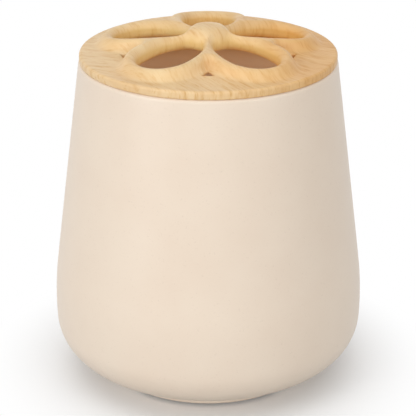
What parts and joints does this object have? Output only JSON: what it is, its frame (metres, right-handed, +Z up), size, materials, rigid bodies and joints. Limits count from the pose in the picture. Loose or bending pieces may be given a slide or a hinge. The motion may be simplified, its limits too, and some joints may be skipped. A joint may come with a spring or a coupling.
{
  "type": "toothbrush holder",
  "caption": "Tapered round cup with a full belly and low foot, and a lift-off wooden lid pierced by petal-shaped brush holes inside a raised flower of rings.",
  "frame": {"origin": "on the table below the middle of the cup, at the height of the foot pads' undersides", "axes": "+Z up along the cup's axis, -Y toward the front as pictured, where one spoke of the lid points, +X to the right"},
  "size_m": [0.0968, 0.0968, 0.1126],
  "materials": {
    "cup_glaze": "matt cream glaze",
    "lid_wood": "pale sanded wood with a thin satin lacquer",
    "seal_silicone": "translucent white silicone",
    "pad_silicone": "matt clear silicone"
  },
  "bodies": {
    "cup_body": {"cup": "cup_glaze", "foot_pad_1": "pad_silicone", "foot_pad_2": "pad_silicone", "foot_pad_3": "pad_silicone", "foot_pad_4": "pad_silicone"},
    "seal_body": {"lid_seal_ring": "seal_silicone"},
    "lid_body": {"lid": "lid_wood"}
  },
  "joints": [
    {"name": "lid_lift", "type": "slide", "parent": "cup_body", "child": "seal_body", "axis": [0, 0, 1], "range_m": [0, 0.04]},
    {"name": "lid_turn", "type": "hinge", "parent": "seal_body", "child": "lid_body", "pos_m": [0, 0, 0.0983], "axis": [0, 0, 1], "continuous": true}
  ]
}
